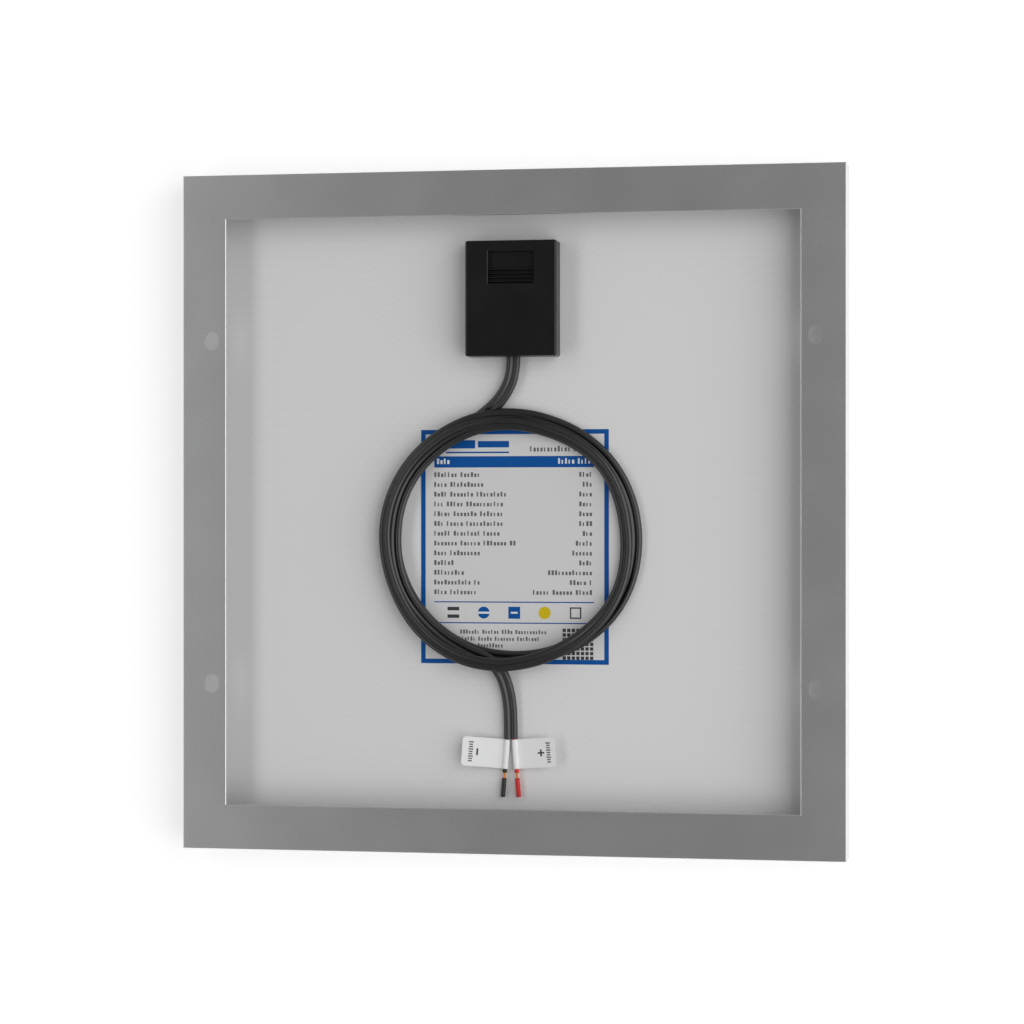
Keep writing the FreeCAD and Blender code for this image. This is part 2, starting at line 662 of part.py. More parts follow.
def tag(side, reach):
    """A folded flag: a sleeve round the core and a flat leaf to the outside."""
    y0, y1 = -TAG_START - TAG_TALL, -TAG_START
    leaf = rectangle(side * reach / 2, (y0 + y1) / 2, reach, TAG_TALL)
    c = TAG_CORNER
    radii = [0, c, c, 0] if side > 0 else [c, 0, 0, c]
    leaf = prism(leaf, radii, -TAG_T / 2, TAG_T / 2)
    body = rod(TAG_R, TAG_TALL, V(0, y1, 0), V(0, -1, 0)).fuse(leaf)
    return body.cut(rod(TAG_BORE_R, TAG_TALL + 2, V(0, y1 + 1, 0), V(0, -1, 0))).removeSplitter()


def stripped_ends():
    """The cores and wires start square against the jacket's end, although they splay apart."""
    nodes = {}
    down, root = V(0, -1, 0), 0.2
    below_jacket = block(-10, 10, -PANEL_H / 2, TAIL[-1][1], REAR_Z, PANEL_D)
    for name, side in SIDES.items():
        core = on_core(side, sleeve(CORE_R, WIRE_R, -root, CORE_LONG + root))
        wire = on_core(side, rod(WIRE_R, WIRE_LONG + root, V(0, root, 0), down))
        nodes["core_" + name] = core.common(below_jacket)
        nodes["wire_" + name] = wire.common(below_jacket)
        nodes["slug_" + name] = on_core(side, sleeve(SLUG_R, SLUG_BORE_R, SLUG_START, SLUG_LONG))
        nodes["tag_" + name] = on_core(side, tag(side, TAG_REACH[name]))
    return nodes


def rating_label():
    corners = rectangle(LABEL_X, LABEL_Y, LABEL_W, LABEL_H)
    return {"rating_label": prism(corners, 0.3, REAR_Z, REAR_Z + LABEL_T)}


# ------------------------------------------------------------------ all nodes
os.makedirs("parts", exist_ok=True)
for make in (frame_rails, corner_keys, laminate, junction_box, free_cable, stripped_ends, rating_label):
    for node, shape in make().items():
        shape.exportStep(f"parts/{node}.step")
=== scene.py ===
"""A framed solar panel lying glass side down, its cable loosely coiled on the rear. Metres; CAD frame."""

import bmesh
import bpy
import math
import random
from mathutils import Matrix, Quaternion, Vector


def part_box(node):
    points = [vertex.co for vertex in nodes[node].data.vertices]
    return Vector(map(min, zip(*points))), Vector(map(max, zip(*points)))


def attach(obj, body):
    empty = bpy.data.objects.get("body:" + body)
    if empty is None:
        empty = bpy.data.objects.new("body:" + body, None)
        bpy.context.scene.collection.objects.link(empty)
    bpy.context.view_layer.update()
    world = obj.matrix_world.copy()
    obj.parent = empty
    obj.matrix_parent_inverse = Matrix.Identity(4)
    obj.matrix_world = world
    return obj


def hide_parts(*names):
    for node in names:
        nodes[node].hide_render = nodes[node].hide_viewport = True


MM = 0.001
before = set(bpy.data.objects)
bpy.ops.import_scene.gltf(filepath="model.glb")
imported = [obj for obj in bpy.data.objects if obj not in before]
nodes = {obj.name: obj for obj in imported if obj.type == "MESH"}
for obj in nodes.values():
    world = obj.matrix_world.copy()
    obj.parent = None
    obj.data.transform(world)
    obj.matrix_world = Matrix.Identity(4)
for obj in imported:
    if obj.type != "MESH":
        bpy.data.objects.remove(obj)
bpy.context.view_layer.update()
Z_UP = Vector((0, 0, 1))


# ------------------------------------------------------------------ material helpers
class Paint:
    """A principled material and short ways to wire noise, colour and bump into it."""

    def __init__(self, name, colour, roughness, metallic=0.0, **sockets):
        self.material = bpy.data.materials.new(name)
        self.material.use_nodes = True
        self.tree = self.material.node_tree
        self.shader = self.tree.nodes["Principled BSDF"]
        self.colour = (*colour, 1.0)
        self.set("Base Color", self.colour)
        self.set("Roughness", roughness)
        self.set("Metallic", metallic)
        for socket, value in sockets.items():
            self.set(socket.replace("_", " "), value)
        self.height = None
        self.place = self.node("ShaderNodeTexCoord").outputs["Object"]

    def set(self, socket, value):
        self.shader.inputs[socket].default_value = value

    def node(self, kind, **values):
        made = self.tree.nodes.new(kind)
        for name, value in values.items():
            if name in made.inputs:
                made.inputs[name].default_value = value
            else:
                setattr(made, name, value)
        return made

    def wire(self, output, target):
        self.tree.links.new(output, target)

    def noise(self, scale, detail=3.0):
        node = self.node("ShaderNodeTexNoise", Scale=scale, Detail=detail)
        self.wire(self.place, node.inputs["Vector"])
        return node.outputs["Fac"]

    def ranged(self, value, low, high, start=0.3, end=0.7):
        node = self.node("ShaderNodeMapRange")
        for name, number in (("From Min", start), ("From Max", end), ("To Min", low), ("To Max", high)):
            node.inputs[name].default_value = number
        self.wire(value, node.inputs["Value"])
        return node.outputs["Result"]

    def tint(self, mask, colour):
        """Mixes a second colour into the base colour where the mask is 1."""
        node = self.node("ShaderNodeMix", data_type="RGBA")
        base = self.shader.inputs["Base Color"]
        if base.links:
            self.wire(base.links[0].from_socket, node.inputs[6])
        else:
            node.inputs[6].default_value = self.colour
        node.inputs[7].default_value = (*colour, 1.0)
        self.wire(mask, node.inputs["Factor"])
        self.wire(node.outputs[2], base)

    def rough(self, value, low, high):
        self.wire(self.ranged(value, low, high), self.shader.inputs["Roughness"])

    def bump(self, height, strength, distance=0.0002):
        """Adds a bump on top of the ones already wired."""
        node = self.node("ShaderNodeBump", Strength=strength, Distance=distance)
        self.wire(height, node.inputs["Height"])
        if self.height:
            self.wire(self.height, node.inputs["Normal"])
        self.height = node.outputs["Normal"]
        self.wire(self.height, self.shader.inputs["Normal"])

    def maths(self, operation, first, second=None):
        node = self.node("ShaderNodeMath", operation=operation)
        for k, value in enumerate((first, second)):
            if isinstance(value, (int, float)):
                node.inputs[k].default_value = value
            elif value is not None:
                self.wire(value, node.inputs[k])
        return node.outputs["Value"]

    def axis(self, name):
        node = self.node("ShaderNodeSeparateXYZ")
        self.wire(self.place, node.inputs["Vector"])
        return node.outputs[name]

    def dots(self, pitch, radius, shift=(0.0, 0.0)):
        """A square grid of soft dots in X and Y."""
        parts = []
        for name, offset in zip("XY", shift):
            steps = self.maths("MULTIPLY", self.axis(name), 1 / pitch)
            cell = self.maths("FRACT", self.maths("ADD", steps, offset))
            off = self.maths("SUBTRACT", cell, 0.5)
            parts.append(self.maths("MULTIPLY", off, off))
        away = self.maths("SQRT", self.maths("ADD", *parts))
        edge = radius / pitch
        return self.ranged(away, 1.0, 0.0, edge * 0.5, edge * 1.3)


def grained(name, colour, roughness, dark, scale, bump=0.1, metallic=0.0, **sockets):
    """A finish with fine grain in its colour, its roughness and its surface."""
    paint = Paint(name, colour, roughness, metallic, **sockets)
    grain = paint.noise(scale, 4.0)
    broad = paint.noise(scale / 25, 2.0)
    paint.tint(paint.ranged(grain, 0.0, 0.6), dark)
    paint.tint(paint.ranged(broad, 0.0, 0.35), dark)
    paint.rough(broad, roughness * 0.9, min(1.0, roughness * 1.12))
    paint.bump(grain, bump, 0.00005)
    return paint.material


# ------------------------------------------------------------------ materials
DOT_PITCH = 3.55 * MM  # the backsheet's embossed grid
DOT_SHIFT = (0.58, -0.16)  # shares of the pitch
FINGER_PITCH = 2.1 * MM  # the silver fingers on the cells


def anodised():
    """Blasted and anodised aluminium, a little cloudy."""
    paint = Paint("anodised_aluminium", (0.76, 0.763, 0.767), 0.34, 1.0)
    blast = paint.noise(2300.0, 4.0)
    broad = paint.noise(40.0, 2.0)
    paint.tint(paint.ranged(blast, 0.0, 0.6, 0.35, 0.65), (0.52, 0.523, 0.526))
    paint.tint(paint.ranged(broad, 0.0, 0.05), (0.84, 0.84, 0.845))
    paint.rough(broad, 0.34, 0.36)
    paint.bump(blast, 0.18, 0.00004)
    return paint.material


def backsheet_film():
    """Off-white film with an embossed grid: darker dots, and paler ones half way between their rows."""
    paint = Paint("white_backsheet", (0.80, 0.80, 0.798), 0.5)
    dots = paint.dots(DOT_PITCH, 0.00055, DOT_SHIFT)
    pale = paint.dots(DOT_PITCH, 0.0006, (DOT_SHIFT[0], DOT_SHIFT[1] + 0.5))
    weave = paint.dots(DOT_PITCH / 2, 0.00035, DOT_SHIFT)
    mottle = paint.noise(1300.0, 3.0)
    paint.tint(paint.maths("MULTIPLY", dots, 0.30), (0.70, 0.70, 0.698))
    paint.tint(paint.maths("MULTIPLY", pale, 0.25), (0.86, 0.86, 0.858))
    paint.tint(paint.maths("MULTIPLY", weave, 0.16), (0.72, 0.72, 0.718))
    paint.tint(paint.ranged(mottle, 0.0, 0.2), (0.75, 0.75, 0.748))
    paint.rough(mottle, 0.46, 0.56)
    paint.bump(mottle, 0.1, 0.00005)
    paint.bump(dots, 0.2, -0.00005)
    return paint.material


def label_film():
    paint = Paint("label_film", (0.73, 0.73, 0.73), 0.42)
    dots = paint.dots(DOT_PITCH, 0.0005, DOT_SHIFT)
    mottle = paint.noise(900.0, 3.0)
    paint.tint(paint.maths("MULTIPLY", dots, 0.3), (0.65, 0.65, 0.65))
    paint.tint(paint.ranged(mottle, 0.0, 0.2), (0.68, 0.68, 0.68))
    paint.rough(mottle, 0.38, 0.48)
    paint.bump(dots, 0.15, -0.00005)
    return paint.material


def ink(name, colour):
    """Printed ink: a little uneven, as a thin layer over the film."""
    paint = Paint(name, colour, 0.5, Specular_IOR_Level=0.2)
    fine = paint.noise(4000.0, 2.0)
    paler = tuple(c * 1.2 for c in colour)
    paint.tint(paint.ranged(fine, 0.0, 0.4), paler)
    paint.rough(fine, 0.4, 0.5)
    return paint.material


def box_plastic():
    paint = Paint("black_box_plastic", (0.003, 0.003, 0.0034), 0.33, Specular_IOR_Level=0.4)
    texture = paint.noise(3200.0, 3.0)
    broad = paint.noise(90.0, 2.0)
    paint.tint(paint.ranged(texture, 0.0, 0.6), (0.008, 0.008, 0.0085))
    paint.tint(paint.ranged(broad, 0.0, 0.4), (0.0065, 0.0065, 0.007))
    paint.rough(broad, 0.30, 0.36)
    paint.bump(texture, 0.25, 0.00004)
    return paint.material


def silicon():
    """Dark cells with fine silver fingers across them."""
    paint = Paint("silicon_cell", (0.008, 0.012, 0.035), 0.22)
    broad = paint.noise(60.0, 2.0)
    grain = paint.noise(2600.0, 2.0)
    paint.tint(paint.ranged(broad, 0.0, 0.7), (0.014, 0.022, 0.06))
    paint.tint(paint.ranged(grain, 0.0, 0.3), (0.004, 0.006, 0.02))
    steps = paint.maths("FRACT", paint.maths("MULTIPLY", paint.axis("Y"), 1 / FINGER_PITCH))
    from_finger = paint.maths("ABSOLUTE", paint.maths("SUBTRACT", steps, 0.5))
    fingers = paint.ranged(from_finger, 0.75, 0.0, 0.03, 0.06)
    paint.tint(fingers, (0.45, 0.46, 0.48))
    paint.rough(broad, 0.18, 0.27)
    paint.bump(grain, 0.1, 0.00003)
    return paint.material


def glass():
    """Clear glass: nearly all light passes, and the rest is gloss."""
    paint = Paint(
        "tempered_glass", (0.05, 0.07, 0.065), 0.08, IOR=1.5, Specular_IOR_Level=1.0, Alpha=0.08)
    wave = paint.noise(900.0, 2.0)
    paint.rough(wave, 0.05, 0.12)
    paint.bump(wave, 0.15, 0.00005)
    return paint.material


def encapsulant():
    paint = Paint("clear_encapsulant", (0.6, 0.6, 0.59), 0.12, IOR=1.48, Alpha=0.02)
    wave = paint.noise(120.0, 2.0)
    paint.rough(wave, 0.1, 0.16)
    return paint.material


def ribbon():
    paint = Paint("tinned_ribbon", (0.72, 0.715, 0.70), 0.3, 1.0)
    solder = paint.noise(700.0, 4.0)
    paint.tint(paint.ranged(solder, 0.0, 0.6), (0.55, 0.55, 0.54))
    paint.rough(solder, 0.24, 0.4)
    paint.bump(solder, 0.3, 0.00008)
    return paint.material


def jacket():
    paint = Paint("black_cable_jacket", (0.0025, 0.0025, 0.0028), 0.36, Specular_IOR_Level=0.9)
    grain = paint.noise(2600.0, 3.0)
    broad = paint.noise(70.0, 2.0)
    paint.tint(paint.ranged(grain, 0.0, 0.5), (0.006, 0.006, 0.0063))
    paint.tint(paint.ranged(broad, 0.0, 0.5), (0.004, 0.004, 0.0043))
    paint.rough(broad, 0.34, 0.38)
    paint.bump(grain, 0.15, 0.00003)
    return paint.material


def copper():
    paint = Paint("bare_copper", (0.95, 0.30, 0.04), 0.4, 0.4)
    fine = paint.noise(1800.0, 3.0)
    paint.tint(paint.ranged(fine, 0.0, 0.5), (0.66, 0.17, 0.02))
    paint.rough(fine, 0.25, 0.4)
    return paint.material


def paper(name, colour):
    paint = Paint(name, colour, 0.55)
    fibre = paint.noise(1500.0, 5.0)
    paint.tint(paint.ranged(fibre, 0.0, 0.3), tuple(c * 0.93 for c in colour))
    paint.rough(fibre, 0.5, 0.62)
    paint.bump(fibre, 0.15, 0.00004)
    return paint.material


FINISHES = {
    "anodised_aluminium": anodised(),
    "cast_aluminium": grained(
        "cast_aluminium", (0.5, 0.5, 0.51), 0.5, (0.36, 0.36, 0.37), 2200.0, 0.4, 1.0),
    "edge_sealant": grained("edge_sealant", (0.74, 0.74, 0.72), 0.5, (0.66, 0.66, 0.64), 500.0),
    "tempered_glass": glass(),
    "clear_encapsulant": encapsulant(),
    "silicon_cell": silicon(),
    "tinned_ribbon": ribbon(),
    "white_backsheet": backsheet_film(),
    "black_box_plastic": box_plastic(),
    "black_rubber": grained("black_rubber", (0.014, 0.014, 0.014), 0.7, (0.02, 0.02, 0.02), 1800.0),
    "tinned_brass": grained(
        "tinned_brass", (0.70, 0.66, 0.54), 0.3, (0.58, 0.52, 0.38), 1200.0, 0.2, 1.0),
    "zinc_plated_steel": grained(
        "zinc_plated_steel", (0.66, 0.67, 0.70), 0.32, (0.54, 0.56, 0.58), 1600.0, 0.2, 1.0),
    "diode_body": grained("diode_body", (0.012, 0.012, 0.012), 0.35, (0.02, 0.02, 0.021), 2400.0),
    "black_cable_jacket": jacket(),
    "black_core": grained("black_core", (0.012, 0.012, 0.013), 0.42, (0.02, 0.02, 0.021), 2600.0),
    "red_core": grained("red_core", (0.58, 0.010, 0.007), 0.42, (0.68, 0.02, 0.014), 2600.0),
    "bare_copper": copper(),
    "white_tag": paper("white_tag", (0.92, 0.925, 0.93)),
    "label_film": label_film(),
}

BLUE = ink("ink_blue", (0.002, 0.085, 0.34))
GREY = ink("ink_grey", (0.13, 0.13, 0.133))
WHITE = ink("ink_white", (0.78, 0.80, 0.82))
YELLOW = ink("ink_yellow", (0.66, 0.50, 0.01))
DARK = ink("ink_dark", (0.05, 0.05, 0.055))

for name, cad in nodes.items():
    wanted = [m.name.split(".")[0] for m in cad.data.materials]
    for k, slot_name in enumerate(wanted):
        if slot_name in FINISHES:
            cad.material_slots[k].material = FINISHES[slot_name]
        else:
            print("no finish for", name, slot_name)

# The film behind the cells is the white kind
nodes["rear_encapsulant"].material_slots[0].material = grained(
    "white_encapsulant", (0.80, 0.80, 0.79), 0.5, (0.72, 0.72, 0.71), 900.0)


# ------------------------------------------------------------------ mesh helpers
SHARP = math.radians(50)  # edges sharper than this stay sharp in smooth shading
AROUND = 28  # corners of a turned ring


def mesh_piece(name, vertices, faces, material, body="panel", smooth=True, replaced=()):
    """A mesh object that rides on a body and takes its finish from a material slot."""
    mesh = bpy.data.meshes.new(name)
    mesh.from_pydata([tuple(v) for v in vertices], [], faces)
    mesh.validate()
    shaped = bmesh.new()
    shaped.from_mesh(mesh)
    bmesh.ops.recalc_face_normals(shaped, faces=shaped.faces)
    for edge in shaped.edges:
        if edge.calc_face_angle(0) > SHARP:
            edge.smooth = False
    shaped.to_mesh(mesh)
    shaped.free()
    for face in mesh.polygons:
        face.use_smooth = smooth
    mesh.materials.append(material)
    piece = bpy.data.objects.new(name, mesh)
    bpy.context.scene.collection.objects.link(piece)
    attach(piece, body)
    if replaced:
        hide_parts(*replaced)
    return piece


def thinned_film(name, node, keep=0.9):
    """A clear film a hair thinner than its solid, so that its faces don't lie in its neighbours' faces."""
    mesh = nodes[node].data.copy()
    low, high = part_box(node)
    middle = (low.z + high.z) / 2
    for vertex in mesh.vertices:
        vertex.co.z = middle + (vertex.co.z - middle) * keep
    mesh.materials.clear()
    mesh.materials.append(FINISHES["clear_encapsulant"])
    film = bpy.data.objects.new(name, mesh)
    bpy.context.scene.collection.objects.link(film)
    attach(film, "panel")
    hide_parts(node)


def tube_faces(rings, around, first=0):
    """Side faces and two end caps for rings of points that follow each other."""
    faces = []
    for i in range(rings - 1):
        for k in range(around):
            a, b = first + i * around + k, first + i * around + (k + 1) % around
            faces.append((a, b, b + around, a + around))
    last = first + (rings - 1) * around
    faces.append(tuple(first + k for k in reversed(range(around))))
    faces.append(tuple(last + k for k in range(around)))
    return faces


def sleeve_faces(rings, around):
    """Faces for rings of points whose last ring joins the first, as on a hollow sleeve."""
    faces = []
    for i in range(rings):
        step = around if i < rings - 1 else -i * around
        for k in range(around):
            a, b = i * around + k, i * around + (k + 1) % around
            faces.append((a, b, b + step, a + step))
    return faces


thinned_film("front_film", "front_encapsulant")


# ------------------------------------------------------------------ cable route
# Points in millimetres: from the box's wall to the coil, and from the coil to the jacket's end
LEAD_IN = [
    (0.5, 67.3, 9.15),
    (0.5, 58.6, 9.15),
    (-5.6, 48.2, 8.2),
    (-13.6, 41.6, 7.9),
    (-22.2, 35.6, 7.9),
]
TAIL = [
    (-8.4, -65.0, 10.9),
    (-4.0, -70.6, 10.2),
    (-1.8, -78.8, 8.3),
    (-0.9, -88.2, 7.9),
    (-0.9, -98.4, 7.9),
]
LOWER, UPPER = (0.1, -10.5), (-2.6, -13.75)  # middles of the first turn and of the later ones

# The coil's lay: angle in degrees, share of the way from the lower middle to the upper one, radius, height
LAY = [
    (131, 0.0, 51.4, 7.9),
    (155, 0.0, 52.2, 7.9),
    (180, 0.0, 53.0, 7.9),
    (240, 0.0, 52.8, 7.9),
    (255, 0.0, 53.1, 7.9),
    (270, 0.0, 52.5, 7.9),
    (285, 0.0, 53.2, 7.9),
    (300, 0.0, 53.6, 7.9),
    (315, 0.0, 54.5, 7.9),
    (330, 0.0, 54.7, 7.9),
    (345, 0.0, 54.1, 7.9),
    (360, 0.0, 53.4, 7.9),
    (390, 0.0, 53.1, 7.9),
    (420, 0.0, 52.2, 7.9),
    (435, 0.0, 51.8, 8.3),
    (450, 0.0, 52.6, 9.6),
    (467, 0.4, 54.5, 11.4),
    (485, 1.0, 55.4, 12.5),
    (495, 1.0, 54.8, 12.6),
    (510, 1.0, 54.7, 12.4),
    (525, 1.0, 54.1, 12.4),
    (540, 1.0, 53.3, 12.4),
    (555, 1.0, 52.4, 12.5),
    (570, 1.0, 52.5, 12.7),
    (585, 1.0, 53.0, 13.0),
    (600, 1.0, 53.2, 13.4),
    (615, 1.0, 53.0, 13.7),
    (630, 1.0, 52.3, 13.8),
    (645, 1.0, 51.6, 13.3),
    (660, 1.0, 51.4, 12.3),
    (675, 1.0, 52.1, 11.3),
    (690, 1.0, 53.1, 10.4),
    (705, 1.0, 53.1, 9.9),
    (720, 1.0, 52.3, 9.6),
    (735, 1.0, 52.6, 9.6),
    (750, 1.0, 53.8, 9.8),
    (765, 1.0, 54.2, 9.9),
    (780, 1.0, 52.4, 9.7),
    (795, 1.0, 51.8, 9.9),
    (810, 1.0, 52.3, 10.6),
    (828, 1.0, 52.0, 11.2),
    (840, 1.0, 51.2, 10.9),
    (855, 1.0, 51.0, 10.8),
    (870, 1.0, 50.8, 10.8),
    (900, 1.0, 49.1, 10.8),
    (930, 1.0, 49.1, 10.8),
    (945, 1.0, 48.3, 10.8),
    (971, 1.0, 49.4, 10.8),
]
STEP = 15  # degrees between the coil's points

# How far the cable rolls onto one lobe, by its distance along the route in millimetres
BANKS = [
    (0, 0), (335, 0), (363, 25), (380, 40), (405, 42), (434, 33), (463, 28), (477, 20), (506, 20),
    (520, 28), (540, 8), (556, -10), (580, -34), (667, -36), (694, -12), (710, 0), (730, 6), (830, 0),
]


def between(table, at):
    """Reads a table of rows by its first column, in a straight line between two rows."""
    for low, high in zip(table, table[1:]):
        if at <= high[0]:
            share = max(0.0, (at - low[0]) / (high[0] - low[0]))
            return [a + (b - a) * share for a, b in zip(low[1:], high[1:])]
    return list(table[-1][1:])


def coil_points():
    """The coil's turns, as points just outside the circle that the spline then rounds to."""
    points = []
    angle = LAY[0][0]
    while angle <= LAY[-1][0]:
        shift, radius, height = between(LAY, angle)
        x = LOWER[0] + (UPPER[0] - LOWER[0]) * shift
        y = LOWER[1] + (UPPER[1] - LOWER[1]) * shift
        out = radius / math.cos(math.radians(STEP / 2))
        turn = math.radians(angle)
        points.append((x + out * math.cos(turn), y + out * math.sin(turn), height))
        angle += STEP
    return points


def spline_line(points):
    """The smooth line of one NURBS spline with these control points in millimetres."""
    curve = bpy.data.curves.new("route", "CURVE")
    curve.dimensions = "3D"
    spline = curve.splines.new("NURBS")
    spline.points.add(len(points) - 1)
    for point, at in zip(spline.points, points):
        point.co = (*(c * MM for c in at), 1.0)
    spline.order_u = 3
    spline.use_endpoint_u = True
    spline.resolution_u = 7
    holder = bpy.data.objects.new("route", curve)
    bpy.context.scene.collection.objects.link(holder)
    bpy.context.view_layer.update()
    mesh = bpy.data.meshes.new_from_object(holder)
    line = [v.co.copy() for v in mesh.vertices]
    bpy.data.objects.remove(holder)
    bpy.data.curves.remove(curve)
    bpy.data.meshes.remove(mesh)
    return line


route = spline_line(LEAD_IN + coil_points() + TAIL)

LOBE_R = 1.5 * MM
GROOVE_Z = 0.8 * MM  # half the cable's thickness in the groove between the lobes
LOBE_END, LOBE_STEP = 144, 16  # degrees from a lobe's outer side to its last point, and between points


def cable_section():
    """The twin cable's outline as (across, up) pairs: two round lobes with a groove above and below."""
    lobe = [math.radians(a) for a in range(-LOBE_END, LOBE_END + 1, LOBE_STEP)]
    right = [(LOBE_R + LOBE_R * math.cos(a), LOBE_R * math.sin(a)) for a in lobe]
    left = [(-x, -z) for x, z in right]
    return right + [(0.0, GROOVE_Z)] + left + [(0.0, -GROOVE_Z)]


def level_frames(line):
    """At each point: the way on, the level way across to its left, and up."""
    frames = []
    for i, point in enumerate(line):
        way = (line[min(i + 1, len(line) - 1)] - line[max(i - 1, 0)]).normalized()
        across = Z_UP.cross(way).normalized()
        frames.append((way, across, way.cross(across)))
    return frames


def twin_cable():
    """The flat cable, swept along the route and rolled where its turns lean on each other."""
    section = cable_section()
    vertices, travelled, last = [], 0.0, route[0]
    for point, (way, across, up) in zip(route, level_frames(route)):
        travelled += (point - last).length / MM
        last = point
        roll = Quaternion(way, math.radians(between(BANKS, travelled)[0]))
        vertices += [point + roll @ (across * x + up * z) for x, z in section]
    faces = tube_faces(len(route), len(section))
    return mesh_piece(
        "flat_twin_cable", vertices, faces, FINISHES["black_cable_jacket"],
        replaced=("cable_lead_in", "cable_coil", "cable_tail"))


# ------------------------------------------------------------------ stripped ends
# All lengths are in millimetres; those along a core start at the jacket's end
CORE_START, SPREAD, SPLAY = Vector(TAIL[-1]), 1.55, math.radians(4.4)
CORE_R, CORE_LONG = 0.975, 14.8
SLUG_START, SLUG_LONG, SLUG_R, SLUG_BORE = 17.2, 8.2, 1.0, 0.55
RAGGED_RINGS, RAGGED = (1, 2, 7, 8), 0.04  # the slug's rings beside its cuts, and how far they wander
WIRE_LONG, STRAND_R, STRAND_TURNS, STRAND_STEPS, STRAND_SIDES = 24.7, 0.165, 3.0, 75, 8
TAG_START, TAG_TALL, TAG_R, TAG_BORE, TAG_T, TAG_CORNER = 0.4, 12.7, 1.25, 1.0, 0.26, 1.5
TAG_RISE, TAG_RISE_OVER, TAG_CURL = 3.0, 17.0, 1.3  # a leaf rises this far over this length, by this power
TAG_SIDES, LEAF_ROWS, LEAF_STEPS, CORNER_STEPS = 32, 12, 14, 7
LEAF_ROOT = TAG_R - 0.15  # the leaf starts inside the sleeve's wall
TAG_REACH = {"negative": 19.0, "positive": 18.0}
PRINT_AT = {"negative": (12.5, 15.3), "positive": (11.5, 14.9)}  # how far out the sign and the row are
SIGN_LONG, MINUS_T, PLUS_T = 3.0, 0.75, 0.7
ROW_BLOCKS, ROW_STEP, BLOCK_TALL, BLOCK_LOW, BLOCK_WIDE = 9, 1.03, 2.1, 1.6, 0.5
SIDES = {"negative": -1, "positive": 1}
CORE_SLOTS = {"negative": "black_core", "positive": "red_core"}
UNDER_JACKET = 0.3  # the insulation goes this far up into the jacket


def end_frame(side):
    """Where a stripped core starts, the way along it and the level way outwards from the pair's middle."""
    start = (CORE_START + Vector((side * SPREAD, 0, 0))) * MM
    along = Vector((side * math.sin(SPLAY), -math.cos(SPLAY), 0))
    out = Vector((side * math.cos(SPLAY), math.sin(SPLAY), 0))
    return start, along, out


def lathe(start, along, out, profile, around=AROUND):
    """Rings of points about a core's axis; the profile is (distance along, radius) in millimetres."""
    points = []
    for at, radius in profile:
        for k in range(around):
            turn = 2 * math.pi * k / around
            spoke = out * math.cos(turn) + Z_UP * math.sin(turn)
            points.append(start + along * at * MM + spoke * radius * MM)
    return points


def insulation(name, side, slot):
    """A core's sleeve of insulation, nicked all round just before its cut end."""
    profile = [
        (-UNDER_JACKET, CORE_R), (0.2, CORE_R), (6.0, CORE_R), (13.2, CORE_R), (13.42, 0.985), (13.9, 1.0),
        (14.0, 0.93), (14.1, 0.92), (14.2, 0.99), (14.55, 1.0), (14.72, 0.96), (CORE_LONG, 0.86),
        (CORE_LONG, 0.5),
    ]
    return mesh_piece(
        "insulation_" + name, lathe(*end_frame(side), profile), tube_faces(len(profile), AROUND),
        FINISHES[slot], replaced=("core_" + name,))


def pulled_slug(name, side, slot):
    """The cut length of insulation left on the wire's tip, hollow, with slightly ragged ends."""
    start, along, out = end_frame(side)
    a, b = SLUG_START, SLUG_START + SLUG_LONG
    profile = [
        (a + 0.02, SLUG_BORE), (a, 0.72), (a + 0.03, 0.9), (a + 0.14, SLUG_R), (a + 1.0, SLUG_R),
        (b - 1.0, SLUG_R), (b - 0.14, SLUG_R), (b - 0.03, 0.92), (b, 0.74), (b - 0.02, SLUG_BORE),
    ]
    vertices = lathe(start, along, out, profile)
    ragged = random.Random(7 + side)
    for ring in RAGGED_RINGS:
        for k in range(AROUND):
            vertices[ring * AROUND + k] += along * ragged.uniform(-RAGGED, RAGGED) * MM
    return mesh_piece(
        "cut_insulation_" + name, vertices, sleeve_faces(len(profile), AROUND), FINISHES[slot],
        body="slug_" + name, replaced=("slug_" + name,))


def strands(name, side):
    """Seven fine copper strands: six twisted round a straight one."""
    start, along, out = end_frame(side)
    vertices, faces = [], []
    for strand in range(7):
        first = len(vertices)
        ring = 0.0 if strand == 0 else 2 * STRAND_R
        for i in range(STRAND_STEPS):
            share = i / (STRAND_STEPS - 1)
            turn = 2 * math.pi * (STRAND_TURNS * share + strand / 6)
            middle = start + along * WIRE_LONG * share * MM
            middle += (out * math.cos(turn) + Z_UP * math.sin(turn)) * ring * MM
            for k in range(STRAND_SIDES):
                way = 2 * math.pi * k / STRAND_SIDES
                vertices.append(middle + (out * math.cos(way) + Z_UP * math.sin(way)) * STRAND_R * MM)
        faces += tube_faces(STRAND_STEPS, STRAND_SIDES, first)
    return mesh_piece(
        "copper_strands_" + name, vertices, faces, FINISHES["bare_copper"],
        replaced=("wire_" + name,))


def leaf_point(frame_of_core, at, along_core, lift):
    """A point on a tag's leaf: out from the core, along it, and above the leaf's middle surface."""
    start, along, out = frame_of_core
    curl = TAG_RISE * max(0.0, (at - TAG_R) / TAG_RISE_OVER) ** TAG_CURL
    return start + out * at * MM + along * along_core * MM + Z_UP * (curl + lift) * MM


